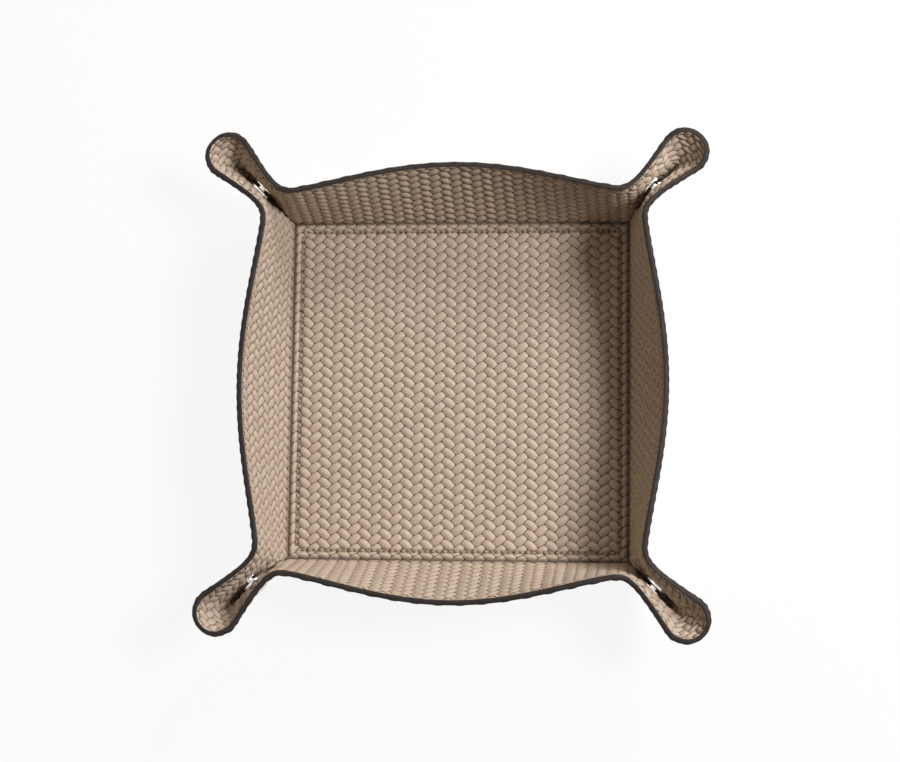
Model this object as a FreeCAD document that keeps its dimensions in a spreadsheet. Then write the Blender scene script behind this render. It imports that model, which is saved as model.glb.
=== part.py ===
"""Leather valet tray whose four corners are pinched into ears and held by press studs.

The tray is one two-ply square of leather, lining inside and plain leather outside, with a board
stitched into its base. Each corner of the square is pinched outwards into an ear: two flanks that
meet in a round keel on the diagonal. A press stud holds the two flanks together. Undo the studs and
the walls, flanks and keels hinge out until the tray lies open.

Frame: millimetres, origin under the middle of the base, +Z up, +Y to the back wall.
"""
import FreeCAD, Part
import Sketcher
import math
import os

Vector = FreeCAD.Vector
Rotation = FreeCAD.Rotation
Placement = FreeCAD.Placement

doc = FreeCAD.newDocument("valet_tray")

# Driving dimensions: alias, value, what it measures (millimetres and degrees)
SIZES = [
    ("base_side", 150.0, "base, fold to fold on the lining"),
    ("wall_height", 42.5, "wall, fold to top edge along the leather"),
    ("end_lean", 4.0, "how far a wall's top leans out at its ends"),
    ("front_lean", 16.3, "how far the front and back walls' tops bow out in the middle"),
    ("side_lean", 13.6, "how far the left and right walls' tops bow out in the middle"),
    ("bow_ease", 0.6, "how much the bow eases off towards a wall's ends, from 0 to 1"),
    ("corner_round", 12.0, "radius of the leather square's four corners"),
    ("lining_thick", 1.3, "lining leather"),
    ("outer_thick", 1.3, "outside leather"),
    ("board_thick", 1.0, "base board"),
    ("board_margin", 6.0, "from the fold to the board's pocket"),
    ("board_play", 0.2, "board to pocket wall"),
    ("stitch_inset", 3.9, "from the fold to the line of stitching"),
    ("stitch_pitch", 2.6, "stitch to stitch"),
    ("stitch_gap", 0.6, "between the ends of two stitches"),
    ("thread_thick", 0.8, "thread"),
    ("groove_depth", 0.5, "groove that the thread is pulled into"),
    ("groove_play", 0.05, "thread to groove wall"),
    ("stitch_rise", 0.3, "how far a stitch stands above the lining"),
    ("keel_angle", 43.0, "slope of an ear's keel"),
    ("keel_root", 5.0, "from the base's corner to where the ear opens"),
    ("keel_width", 7.5, "from the keel's line to the flank, at the ear's tip"),
    ("keel_bevel", 2.0, "how far the plies are skived back along the keel, at the outside"),
    ("pinch_gap", 3.0, "between the linings at the press stud"),
    ("flare_margin", 0.5, "from the press stud's cap to where the ear widens"),
    ("flare_length", 14.0, "over which the ear widens"),
    ("flare_width", 6.4, "how much one flank widens over that length"),
    ("snap_along", 28.8, "press stud, from the base's corner along the keel"),
    ("snap_margin", 0.6, "from the keel's edge to the press stud's cap"),
    ("cap_diameter", 10.0, "press stud cap"),
    ("cap_crown", 1.8, "height of the cap's dome"),
    ("stud_diameter", 9.0, "flange of the stud"),
    ("socket_lip", 0.3, "how far the socket stands out past the stud's flange"),
    ("socket_wall", 0.35, "floor of the socket"),
    ("stud_flange", 0.5, "thickness of the stud's flange"),
    ("head_diameter", 4.0, "head of the stud"),
    ("post_diameter", 3.2, "tube that joins the two halves through the leather"),
    ("post_flange_diameter", 8.0, "flange of the post behind the stud"),
    ("post_flange_thick", 0.8, "thickness of that flange"),
    ("hole_play", 0.1, "tube to its hole in the leather"),
    ("seat_play", 0.01, "cap or flange to the outside leather under it"),
    ("clearance", 0.3, "between pieces that move against each other"),
]

sheet = doc.addObject("Spreadsheet::Sheet", "sizes")
for row, (alias, value, note) in enumerate(SIZES, start=1):
    sheet.set("A%d" % row, note)
    sheet.set("B%d" % row, str(value))
    sheet.setAlias("B%d" % row, alias)
doc.recompute()


def size(alias):
    """The value of one driving dimension."""
    return float(sheet.get(alias))


# Expressions that several sketches share
BOARD_TOP = "(sizes.outer_thick + sizes.board_thick)"
LINING_TOP = "(sizes.outer_thick + sizes.board_thick + sizes.lining_thick)"
BOARD_POCKET_HALF = "(sizes.base_side / 2 - sizes.board_margin)"
STITCH_HALF = "(sizes.base_side / 2 - sizes.stitch_inset)"
HINGE_HALF = "(sizes.base_side / 2 + sizes.lining_thick)"

WALLS = ["back", "right", "front", "left"]
CORNERS = ["back_right", "front_right", "front_left", "back_left"]
QUARTER_TURN = -90.0

finished = []


def keep(feature, label):
    """Gives a finished sub-part its name and puts it on the list to be written."""
    feature.Label = label
    finished.append(feature)
    return feature


# Sketch helpers
def new_body(label):
    return keep(doc.addObject("PartDesign::Body", label), label)


def sketch_on(body, role, name, height="0"):
    """A sketch on one of the body's own origin planes, lifted by an expression."""
    sketch = body.newObject("Sketcher::SketchObject", name)
    for plane in body.Origin.OriginFeatures:
        if plane.Role == role:
            sketch.AttachmentSupport = [(plane, "")]
    sketch.MapMode = "FlatFace"
    sketch.setExpression("AttachmentOffset.Base.z", height)
    return sketch


def add_rectangle(sketch, half_width, half_depth, middle_x="0", middle_y="0"):
    """A rectangle whose middle and half sizes are bound to expressions."""
    corners = [Vector(-1, -1, 0), Vector(1, -1, 0), Vector(1, 1, 0), Vector(-1, 1, 0)]
    sides = []
    for index in range(4):
        line = Part.LineSegment(corners[index], corners[(index + 1) % 4])
        sides.append(sketch.addGeometry(line))
    for index in range(4):
        sketch.addConstraint(Sketcher.Constraint("Coincident", sides[index], 2, sides[(index + 1) % 4], 1))
    for side in (sides[0], sides[2]):
        sketch.addConstraint(Sketcher.Constraint("Horizontal", side))
    for side in (sides[1], sides[3]):
        sketch.addConstraint(Sketcher.Constraint("Vertical", side))
    bound = [
        ("DistanceX", sides[0], 1, half_width, -1.0),
        ("DistanceX", sides[0], 2, half_width, 1.0),
        ("DistanceY", sides[0], 1, half_depth, -1.0),
        ("DistanceY", sides[1], 2, half_depth, 1.0),
    ]
    for kind, side, end, half, sign in bound:
        middle = middle_y if kind == "DistanceY" else middle_x
        constraint = sketch.addConstraint(Sketcher.Constraint(kind, -1, 1, side, end, sign))
        sketch.setExpression("Constraints[%d]" % constraint, "%s + %g * (%s)" % (middle, sign, half))
    return sides


def pad_square(body, name, half, bottom, length):
    """A square plate about the origin."""
    sketch = sketch_on(body, "XY_Plane", name + "_sketch", bottom)
    add_rectangle(sketch, half, half)
    pad = body.newObject("PartDesign::Pad", name)
    pad.Profile = sketch
    pad.setExpression("Length", length)
    return pad


def pocket_square(body, name, halves, top, depth):
    """A square recess, or a square groove where two halves are given, cut down from a height."""
    sketch = sketch_on(body, "XY_Plane", name + "_sketch", top)
    for half in halves:
        add_rectangle(sketch, half, half)
    pocket = body.newObject("PartDesign::Pocket", name)
    pocket.Profile = sketch
    pocket.setExpression("Length", depth)
    return pocket


# Base: outside leather, dished to take the board
def make_base_outer():
    body = new_body("base_outer")
    pad_square(body, "dish", BOARD_POCKET_HALF + " + sizes.outer_thick", "0 mm", BOARD_TOP)
    pad_square(body, "border", HINGE_HALF + " - sizes.clearance / 2", "sizes.board_thick", "sizes.outer_thick")
    pocket_square(body, "board_pocket", [BOARD_POCKET_HALF], BOARD_TOP, "sizes.board_thick")


def make_base_board():
    body = new_body("base_board")
    half = BOARD_POCKET_HALF + " - sizes.board_play"
    pad_square(body, "board", half, "sizes.outer_thick", "sizes.board_thick")


# Base: lining, mitred along its four folds and grooved for the thread
def make_base_lining():
    body = new_body("base_lining")
    half = HINGE_HALF + " - sizes.clearance"
    plate = pad_square(body, "plate", half, BOARD_TOP, "sizes.lining_thick")
    plate.TaperAngle = -45.0
    groove = "(sizes.thread_thick / 2 + sizes.groove_play)"
    halves = [STITCH_HALF + " + " + groove, STITCH_HALF + " - " + groove]
    pocket_square(body, "groove", halves, LINING_TOP, "sizes.groove_depth")


# Base: one running thread, with its stitches standing above the lining
def make_base_stitching():
    body = new_body("base_stitching")
    groove_floor = LINING_TOP + " - sizes.groove_depth"
    under = body.newObject("PartDesign::Pad", "thread_under")
    sketch = sketch_on(body, "XY_Plane", "thread_under_sketch", groove_floor)
    for sign in ("+", "-"):
        half = "%s %s sizes.thread_thick / 2" % (STITCH_HALF, sign)
        add_rectangle(sketch, half, half)
    under.Profile = sketch
    under.setExpression("Length", "sizes.groove_depth / 2")

    steps = "2 * floor((%s - sizes.stitch_pitch) / sizes.stitch_pitch)" % STITCH_HALF
    row_length = "%s * sizes.stitch_pitch" % steps
    half_length = "(sizes.stitch_pitch - sizes.stitch_gap) / 2"
    stitch_sketch = sketch_on(body, "XY_Plane", "stitch_sketch", groove_floor)
    first_x = "-(%s) / 2" % row_length
    add_rectangle(stitch_sketch, half_length, "sizes.thread_thick / 2", first_x, STITCH_HALF)
    stitch = body.newObject("PartDesign::Pad", "stitch")
    stitch.Profile = stitch_sketch
    stitch.setExpression("Length", "sizes.groove_depth + sizes.stitch_rise")

    rows = body.newObject("PartDesign::MultiTransform", "stitch_rows")
    one_side = body.newObject("PartDesign::LinearPattern", "one_side")
    one_side.Direction = (stitch_sketch, ["H_Axis"])
    one_side.setExpression("Length", row_length)
    one_side.setExpression("Occurrences", steps + " + 1")
    four_sides = body.newObject("PartDesign::PolarPattern", "four_sides")
    four_sides.Axis = (stitch_sketch, ["N_Axis"])
    four_sides.Angle = 360.0
    four_sides.Occurrences = 4
    rows.Originals = [stitch]
    rows.Transformations = [one_side, four_sides]
    body.Tip = rows


# Soft leather: places on the tray's surface, worked out at the back right corner
class Ear:
    """The lining's surface at one corner, in polar form on the diagonal plane about the base's corner.

    slope is the angle above the horizontal, reach the distance from the base's corner. The flank
    stands a half gap off the diagonal plane, and bends away from it at the neck to meet the wall's
    end in a straight crease. The keel closes it with a quarter round.
    """

    def __init__(self):
        self.lining_top = size("outer_thick") + size("board_thick") + size("lining_thick")
        self.corner = Vector(size("base_side") / 2, size("base_side") / 2, self.lining_top)
        self.outwards = Vector(1, 1, 0).normalize()
        self.sideways = Vector(-1, 1, 0).normalize()
        self.upwards = Vector(0, 0, 1)
        self.height = size("wall_height")
        self.rounding = size("corner_round")
        keel_slope = math.radians(size("keel_angle"))
        self.keel_slope = keel_slope
        self.keel_way = self.outwards * math.cos(keel_slope) + self.upwards * math.sin(keel_slope)
        self.keel_over = self.upwards * math.cos(keel_slope) - self.outwards * math.sin(keel_slope)
        self.thick = size("lining_thick") + size("outer_thick")
        self.tip_reach = self.rim_reach(0.0)
        cap_radius = size("cap_diameter") / 2
        self.snap_along = size("snap_along")
        self.snap_over = self.keel_rise(self.snap_along) + size("snap_margin") + cap_radius
        snap_reach = math.hypot(self.snap_along, self.snap_over)
        around_cap = cap_radius + size("flare_margin")
        self.flare_start = snap_reach + around_cap
        snap_slope = keel_slope + math.atan2(self.snap_over, self.snap_along)
        self.neck_slope = snap_slope + math.asin(around_cap / snap_reach)
        round_length = math.pi / 4 * (size("keel_width") + self.half_gap(self.tip_reach))
        self.keel_spread = round_length / self.tip_reach
        self.slack = (round_length - size("keel_width")) / self.tip_reach
        self.crease_foot = self.crease_point(0.1)
        self.crease_top = self.crease_point(1.0)
        self.crease_line = (self.crease_top - self.crease_foot).normalize()
        mitre = (Vector(0, 1, 0) + self.sideways).normalize()
        self.crease_normal = mitre.cross(self.crease_line).normalize()

    def rim_reach(self, spread):
        """From the base's corner to the leather's edge, at an angle from the square's diagonal."""
        run = self.height - self.rounding
        tangent = math.radians(45) - math.atan2(run, self.height)
        if spread < tangent:
            middle = run * math.sqrt(2)
            return middle * math.cos(spread) + math.sqrt(
                self.rounding ** 2 - (middle * math.sin(spread)) ** 2
            )
        return self.height / math.cos(math.radians(45) - spread)

    def half_gap(self, reach):
        """From the diagonal plane to the lining: pinched at the press stud, then widening in an S."""
        share = (reach - self.flare_start) / size("flare_length")
        share = min(max(share, 0.0), 1.0)
        return size("pinch_gap") / 2 + size("flare_width") * math.sin(math.pi / 2 * share) ** 2

    def crease_gap(self, share):
        """From the diagonal plane to the crease, at a share of the wall's height."""
        pinch = size("pinch_gap") / 2
        return pinch + (self.half_gap(self.height) - pinch) * share

    def flank_gap(self, slope, reach):
        """The half gap, and past the press stud's cap a bend towards the crease."""
        gap = self.half_gap(reach)
        share = reach / self.height
        crease_offset = self.crease_point(share) - self.corner
        crease_out = crease_offset.dot(self.outwards)
        crease_slope = math.atan2(crease_offset.z, crease_out)
        bend = max(0.0, (slope - self.neck_slope) / (crease_slope - self.neck_slope))
        return gap + max(0.0, self.crease_gap(share) - gap) * bend ** 2

    def place(self, slope, reach, gap):
        out = self.outwards * (reach * math.cos(slope))
        up = self.upwards * (reach * math.sin(slope))
        return self.corner + out + up + self.sideways * gap

    def keel_rise(self, along):
        """From the keel's line to the straight edge between keel and flank, at a place along it."""
        root = size("pinch_gap") / 2
        return root + (size("keel_width") - root) * along / self.tip_reach

    def from_keel(self, point):
        """Signed distance from the edge between keel and flank, positive on the flank's side."""
        offset = point - self.corner
        return offset.dot(self.keel_over) - self.keel_rise(offset.dot(self.keel_way))

    def flank(self, slope, reach):
        return self.place(slope, reach, self.flank_gap(slope, reach))

    def keel(self, turn, along):
        """A place on the keel, from turn 0 at the flank to 90 degrees on the diagonal."""
        rise = self.keel_rise(along)
        gap = self.half_gap(math.hypot(along, rise))
        over = self.keel_over * (rise * (1 - math.sin(turn)))
        aside = self.sideways * (gap * math.cos(turn))
        return self.corner + self.keel_way * along + over + aside

    def crease_point(self, share):
        """Where the flank meets the wall's end, at a share of the wall's height."""
        gap = self.crease_gap(share)
        out = math.sqrt(2) * size("end_lean") * share - gap
        rise = math.sqrt(self.height ** 2 - size("end_lean") ** 2) * share
        return self.corner + self.outwards * out + self.upwards * rise + self.sideways * gap

    def from_crease(self, point):
        """Signed distance from the mitre plane between wall and flank, positive on the flank's side."""
        return (point - self.crease_foot).dot(self.crease_normal)


ear = Ear()


def surface_normal(surface, first, second, outside):
    """Unit normal of a surface given as a function of two numbers, on the side of a direction."""
    step = 0.001
    along = surface(first + step, second) - surface(first - step, second)
    across = surface(first, second + step) - surface(first, second - step)
    normal = along.cross(across).normalize()
    if normal.dot(outside) < 0:
        normal = normal * -1
    return normal


def thin_section(inner_points, outer_points, straight):
    """A closed wire round a thin strip. The first stretch is straight where that is asked for."""
    def edges_through(points):
        if straight:
            line = Part.LineSegment(points[0], points[1]).toShape()
            curve = Part.BSplineCurve()
            curve.interpolate(points[1:])
            return [line, curve.toShape()]
        curve = Part.BSplineCurve()
        curve.interpolate(points)
        return [curve.toShape()]

    there = edges_through(inner_points)
    rim = Part.LineSegment(inner_points[-1], outer_points[-1]).toShape()
    back = edges_through(outer_points)
    root = Part.LineSegment(outer_points[0], inner_points[0]).toShape()
    return Part.Wire(Part.__sortEdges__(there + [rim] + back + [root]))


def ply_limits():
    """Depth below the lining's surface at which each ply starts and ends."""
    lining = size("lining_thick")
    return {"lining": (0.0, lining), "outer": (lining, lining + size("outer_thick"))}


# Walls: straight along the fold, bowed along the top edge
WALL_STATIONS = [index / 6 for index in range(-6, 7)]


def wall_lean(lean, station):
    """How far the wall's top leans out, at a station from -1 to 1 along it."""
    bow = (1 - station ** 2) * (1 - size("bow_ease") * station ** 2)
    return size("end_lean") + (lean - size("end_lean")) * bow


def wall_point(lean, place_x, climb, depth):
    """A point in the back wall, a climb up the leather from the fold and a depth behind the lining."""
    angle = math.acos(lean / ear.height)
    y = size("base_side") / 2 + climb * math.cos(angle) + depth * math.sin(angle)
    z = ear.lining_top + climb * math.sin(angle) - depth * math.cos(angle)
    return Vector(place_x, y, z)


def wall_end_x(climb, depth):
    """Where a line along the wall, near its end, meets the mitre plane with its clearance."""
    low = 0.5 * ear.crease_top.x
    high = 1.5 * ear.crease_top.x
    for _ in range(60):
        middle = (low + high) / 2
        point = wall_point(size("end_lean"), middle, climb, depth)
        if ear.from_crease(point) < -size("clearance") / 2:
            low = middle
        else:
            high = middle
    return (low + high) / 2


def make_wall(lean, limits):
    near, far = limits
    foot = size("clearance")
    sections = []
    for station in WALL_STATIONS:
        out = wall_lean(lean, station)
        corners = [(foot, near), (ear.height, near), (ear.height, far), (foot, far)]
        points = []
        for climb, depth in corners:
            place_x = station * wall_end_x(climb, depth)
            points.append(wall_point(out, place_x, climb, depth))
        sections.append(Part.makePolygon(points + points[:1]))
    return Part.makeLoft(sections, True, True)


# Ears: flanks and keels, each a loft across the ear
FLANK_STATIONS = [0.0, 0.3, 0.55, 0.7, 0.85, 1.0]
FLARE_POINTS = [0.0, 0.2, 0.4, 0.6, 0.8, 1.0]
KEEL_TURNS = [0.0, 15.0, 30.0, 45.0, 60.0, 75.0, 90.0]
KEEL_POINTS = [0.0, 0.2, 0.4, 0.55, 0.62, 0.69, 0.76, 0.83, 0.9, 1.0]


def slope_where(side, low_degrees, high_degrees):
    """Slope, between two limits, at which a rising signed distance passes zero."""
    low = math.radians(low_degrees)
    high = math.radians(high_degrees)
    for _ in range(60):
        middle = (low + high) / 2
        if side(middle) < 0:
            low = middle
        else:
            high = middle
    return (low + high) / 2


def flank_start_slope(reach, depth):
    """Slope at which the flank meets the keel, with its clearance."""
    def side(slope):
        return ear.from_keel(flank_point(slope, reach, depth)) - size("clearance")

    return slope_where(side, size("keel_angle"), size("keel_angle") + 45)


def flank_end_slope(reach, depth):
    """Slope at which the flank meets the mitre plane at the wall, with its clearance."""
    def side(slope):
        return size("clearance") / 2 - ear.from_crease(flank_point(slope, reach, depth))

    return slope_where(side, size("keel_angle") + 10, 120)


def flank_point(slope, reach, depth):
    point = ear.flank(slope, reach)
    if depth == 0:
        return point
    return point + surface_normal(ear.flank, slope, reach, ear.sideways) * depth


def flank_strip(station, depth):
    """Points up the flank, from its root to the leather's edge, at one station across it."""
    def slope_at(reach):
        start = flank_start_slope(reach, depth)
        return start + station * (flank_end_slope(reach, depth) - start)

    edge = ear.tip_reach
    for _ in range(20):
        spread = slope_at(edge) - ear.keel_slope + ear.slack
        edge = ear.rim_reach(spread)
    reaches = [size("keel_root")]
    for share in FLARE_POINTS:
        reaches.append(ear.flare_start + share * (edge - ear.flare_start))
    return [flank_point(slope_at(reach), reach, depth) for reach in reaches]


def make_flank(limits):
    near, far = limits
    sections = []
    for station in FLANK_STATIONS:
        inner = flank_strip(station, near)
        outer = flank_strip(station, far)
        sections.append(thin_section(inner, outer, True))
    return Part.makeLoft(sections, True, True)


def keel_point(turn, along, depth):
    """A point in the keel, held off the diagonal plane by half the clearance and the bevel."""
    outside = ear.sideways * math.cos(turn) - ear.keel_over * math.sin(turn)
    point = ear.keel(turn, along) + outside * depth
    aside = (point - ear.corner).dot(ear.sideways)
    least = size("clearance") / 2 + size("keel_bevel") * depth / ear.thick
    if aside < least:
        point = point + ear.sideways * (least - aside)
    return point


def make_keel(limits):
    near, far = limits
    root = size("keel_root")
    sections = []
    for degrees in KEEL_TURNS:
        turn = math.radians(degrees)
        spread = (1 - degrees / 90.0) * ear.keel_spread
        edge = ear.rim_reach(spread) * math.cos(spread)
        strips = []
        for depth in (near, far):
            points = []
            for share in KEEL_POINTS:
                points.append(keel_point(turn, root + share * (edge - root), depth))
            strips.append(points)
        sections.append(thin_section(strips[0], strips[1], False))
    return Part.makeLoft(sections, True, True)


# Press studs: each piece is turned about the stud's axis, with the diagonal plane at height 0
HALF_PINCH = "sizes.pinch_gap / 2"
LEATHER_FACE = "sizes.pinch_gap / 2 + sizes.lining_thick + sizes.outer_thick"
OUTSIDE_FACE = "(%s + sizes.seat_play)" % LEATHER_FACE
POST_RADIUS = "sizes.post_diameter / 2"


def add_profile(sketch, points):
    """A closed outline whose corners are bound to pairs of expressions.

    It is drawn as a rough ring beside the axis, and the bound corners then pull it into shape.
    """
    ring_radius = size("cap_diameter") / 2
    lines = []
    guess = []
    for index in range(len(points)):
        angle = 2 * math.pi * index / len(points)
        across = ring_radius * (2 + math.cos(angle))
        guess.append(Vector(across, ring_radius * math.sin(angle), 0))
    for index in range(len(points)):
        line = Part.LineSegment(guess[index], guess[(index + 1) % len(points)])
        lines.append(sketch.addGeometry(line))
    for index in range(len(points)):
        following = lines[(index + 1) % len(points)]
        sketch.addConstraint(Sketcher.Constraint("Coincident", lines[index], 2, following, 1))
    for index, (across, along) in enumerate(points):
        for kind, expression in (("DistanceX", across), ("DistanceY", along)):
            start = guess[index].x if kind == "DistanceX" else guess[index].y
            constraint = sketch.addConstraint(Sketcher.Constraint(kind, -1, 1, lines[index], 1, start))
            sketch.setExpression("Constraints[%d]" % constraint, expression)


def turn_piece(label, points, placement):
    """A body of revolution about its own Z axis, from an outline of (radius, height) pairs."""
    body = new_body(label)
    sketch = sketch_on(body, "XZ_Plane", label + "_sketch")
    add_profile(sketch, points)
    turned = body.newObject("PartDesign::Revolution", label + "_turned")
    turned.Profile = sketch
    turned.ReferenceAxis = (sketch, ["V_Axis"])
    turned.Angle = 360.0
    body.Placement = placement
    return body


def make_cap(label, placement):
    """Domed cap on the outside, with its tube through the leather to the socket's floor."""
    radius = "sizes.cap_diameter / 2"
    floor = "%s - sizes.socket_wall" % HALF_PINCH
    points = [
        ("0 mm", floor),
        (POST_RADIUS, floor),
        (POST_RADIUS, OUTSIDE_FACE),
        (radius, OUTSIDE_FACE),
        (radius, OUTSIDE_FACE + " + 0.4 * sizes.cap_crown"),
        ("0.82 * " + radius, OUTSIDE_FACE + " + 0.75 * sizes.cap_crown"),
        ("0.45 * " + radius, OUTSIDE_FACE + " + 0.95 * sizes.cap_crown"),
        ("0 mm", OUTSIDE_FACE + " + sizes.cap_crown"),
    ]
    return turn_piece(label, points, placement)


def make_socket(label, placement):
    """Ring on the lining that the stud's head snaps into."""
    bore = "sizes.head_diameter / 2 + sizes.clearance"
    rim = "(sizes.stud_diameter / 2 + sizes.socket_lip)"
    floor = "%s - sizes.socket_wall" % HALF_PINCH
    mouth = "sizes.clearance / 2"
    points = [
        (POST_RADIUS + " + sizes.hole_play", floor),
        (bore, floor),
        (bore, mouth),
        ("0.75 * " + rim, mouth),
        (rim, mouth + " + 0.3 * (%s)" % HALF_PINCH),
        (rim, HALF_PINCH),
        (POST_RADIUS + " + sizes.hole_play", HALF_PINCH),
    ]
    return turn_piece(label, points, placement)


def make_stud(label, placement):
    """Flange on the facing lining, with the head that reaches into the socket."""
    head = "sizes.head_diameter / 2"
    hole = POST_RADIUS + " + sizes.hole_play"
    flange_face = "%s - sizes.stud_flange" % HALF_PINCH
    tip = "-(%s) + sizes.socket_wall + sizes.clearance" % HALF_PINCH
    points = [
        (hole, HALF_PINCH),
        ("sizes.stud_diameter / 2", HALF_PINCH),
        ("sizes.stud_diameter / 2", flange_face),
        ("0.9 * " + head, flange_face),
        ("0.9 * " + head, "0.5 * (%s)" % tip),
        (head, "0.75 * (%s)" % tip),
        ("0.8 * " + head, tip),
        ("0 mm", tip),
        ("0 mm", flange_face),
        (hole, flange_face),
    ]
    return turn_piece(label, points, placement)


def make_post(label, placement):
    """Flanged tube behind the stud, on the outside leather."""
    flange = "sizes.post_flange_diameter / 2"
    points = [
        ("0 mm", "%s - sizes.stud_flange" % HALF_PINCH),
        (POST_RADIUS, "%s - sizes.stud_flange" % HALF_PINCH),
        (POST_RADIUS, OUTSIDE_FACE),
        (flange, OUTSIDE_FACE),
        (flange, OUTSIDE_FACE + " + 0.5 * sizes.post_flange_thick"),
        ("0.85 * " + flange, OUTSIDE_FACE + " + sizes.post_flange_thick"),
        ("0 mm", OUTSIDE_FACE + " + sizes.post_flange_thick"),
    ]
    return turn_piece(label, points, placement)


def snap_place(sideways):
    """Placement with its Z axis away from the diagonal plane, through the press stud's middle."""
    centre = ear.corner + ear.keel_way * ear.snap_along + ear.keel_over * ear.snap_over
    return Placement(centre, Rotation(ear.outwards, ear.upwards, sideways, "ZXY"))


def snap_hole(limits):
    """The round punch for a press stud's tube, through one ply."""
    near, far = limits
    radius = size("post_diameter") / 2 + size("hole_play")
    centre = snap_place(ear.sideways).Base
    start = centre + ear.sideways * (size("pinch_gap") / 2 + near - 1)
    return Part.makeCylinder(radius, far - near + 2, start, ear.sideways)


def add_shape(label, shape, placement):
    feature = doc.addObject("Part::Feature", label)
    feature.Shape = shape
    feature.Placement = placement
    return keep(feature, label)


def quarter_turn(index):
    """Placement of the wall or corner that comes so many quarter turns after the first."""
    return Placement(Vector(0, 0, 0), Rotation(Vector(0, 0, 1), index * QUARTER_TURN))


def make_walls():
    for index, wall in enumerate(WALLS):
        lean = size("front_lean") if wall in ("back", "front") else size("side_lean")
        for ply, limits in ply_limits().items():
            add_shape("%s_wall_%s" % (wall, ply), make_wall(lean, limits), quarter_turn(index))


def make_ears():
    for ply, limits in ply_limits().items():
        shapes = {
            "ear": make_flank(limits).cut(snap_hole(limits)),
            "keel": make_keel(limits),
        }
        for name, shape in shapes.items():
            twin = shape.mirror(ear.corner, ear.sideways)
            for index, corner in enumerate(CORNERS):
                this_wall = WALLS[index]
                next_wall = WALLS[(index + 1) % 4]
                turned = quarter_turn(index)
                add_shape("%s_%s_by_%s_%s" % (corner, name, this_wall, ply), shape, turned)
                add_shape("%s_%s_by_%s_%s" % (corner, name, next_wall, ply), twin, turned)


def make_snaps():
    for index, corner in enumerate(CORNERS):
        socket_side = quarter_turn(index) * snap_place(ear.sideways)
        stud_side = quarter_turn(index) * snap_place(ear.sideways * -1)
        make_cap(corner + "_snap_cap", socket_side)
        make_socket(corner + "_snap_socket", socket_side)
        make_stud(corner + "_snap_stud", stud_side)
        make_post(corner + "_snap_post", stud_side)


make_base_outer()
make_base_board()
make_base_lining()
make_base_stitching()
make_walls()
make_ears()
make_snaps()
doc.recompute()


# Every object is sound before anything is written
for item in doc.Objects:
    if "Invalid" in item.State or "Error" in item.State:
        raise RuntimeError("%s did not build: %s" % (item.Label, item.State))
for feature in finished:
    if feature.Shape.isNull() or not feature.Shape.isValid():
        raise RuntimeError("%s has no sound shape" % feature.Label)

os.makedirs("parts", exist_ok=True)
for feature in finished:
    feature.Shape.exportStep("parts/%s.step" % feature.Label)
print("%d sub-parts written" % len(finished))
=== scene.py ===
"""Dresses the leather valet tray: plaited lining, plain outside leather, painted edges, thread and snaps.

The leather is drawn as one flat square and folded up by the same formulas as the model, so the plait
runs on from the base over the walls and ears. Sizes are in millimetres until a mesh is made.
"""
import math

import bpy
import numpy as np
from mathutils import Euler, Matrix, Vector


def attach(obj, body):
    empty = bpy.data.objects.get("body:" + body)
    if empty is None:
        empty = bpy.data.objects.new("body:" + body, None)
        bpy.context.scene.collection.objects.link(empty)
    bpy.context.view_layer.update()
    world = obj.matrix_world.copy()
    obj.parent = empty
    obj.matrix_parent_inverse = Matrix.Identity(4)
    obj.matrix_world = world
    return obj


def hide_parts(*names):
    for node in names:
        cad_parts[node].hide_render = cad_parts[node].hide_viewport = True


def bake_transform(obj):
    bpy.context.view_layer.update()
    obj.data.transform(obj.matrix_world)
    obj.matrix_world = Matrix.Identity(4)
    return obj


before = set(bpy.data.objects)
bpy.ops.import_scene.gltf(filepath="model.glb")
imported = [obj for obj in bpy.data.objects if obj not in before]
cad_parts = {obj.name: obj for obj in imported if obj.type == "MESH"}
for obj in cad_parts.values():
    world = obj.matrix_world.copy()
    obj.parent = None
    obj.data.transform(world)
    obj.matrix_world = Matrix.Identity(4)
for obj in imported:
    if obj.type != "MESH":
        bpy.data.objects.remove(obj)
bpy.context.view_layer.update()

MM = 0.001

# The tray's sizes, as in the model
BASE_HALF = 75.0
WALL_HEIGHT = 42.5
END_LEAN = 4.0
FRONT_LEAN = 16.3
SIDE_LEAN = 13.6
BOW_EASE = 0.6
CORNER_ROUND = 12.0
LINING_TOP = 3.6
BORDER_BOTTOM = 1.0
LEATHER_THICK = 2.6
STITCH_INSET = 3.9
STITCH_PITCH = 2.6
STITCH_GAP = 0.6
THREAD_THICK = 0.8
KEEL_ANGLE = 43.0
KEEL_WIDTH = 7.5
PINCH_GAP = 3.0
FLARE_MARGIN = 0.5
FLARE_LENGTH = 14.0
FLARE_WIDTH = 6.4
SNAP_ALONG = 28.8
SNAP_MARGIN = 0.6
CAP_RADIUS = 5.0

# The plait: leaning pillows in columns, every second column leaning the other way
COLUMN_PITCH = 4.57
ROW_PITCH = 4.48
PILLOW_MIDDLE = (-4.19, 21.38)
PILLOW_LEAN = math.radians(37.5)
PILLOW_LONG = 0.70
PILLOW_SHORT = 0.425
LONG_POWER = 3.0
SHORT_POWER = 2.5
DOME_POWER = 0.8
PIT_DEPTH = 1.6
PLAIT_RISE = 0.95
PLAIT_LEVEL = 0.8
EAR_RELIEF = 1.15
CROWD_FROM = 27.0
CROWD_MORE = 0.6
GRID_STEP = 0.42
BASE_STEP = 0.49
OUTER_STEP = 1.6 * GRID_STEP
BASE_OUTER_STEP = 3 * GRID_STEP

# The rim: pressed flat, with a row of stitches near the edge
RIM_STITCH = 1.5
RIM_PRESSED = 1.6
SHOW_THROUGH = 0.3
RIM_SCALLOP = 0.2
RIM_LEAST = 0.25

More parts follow.
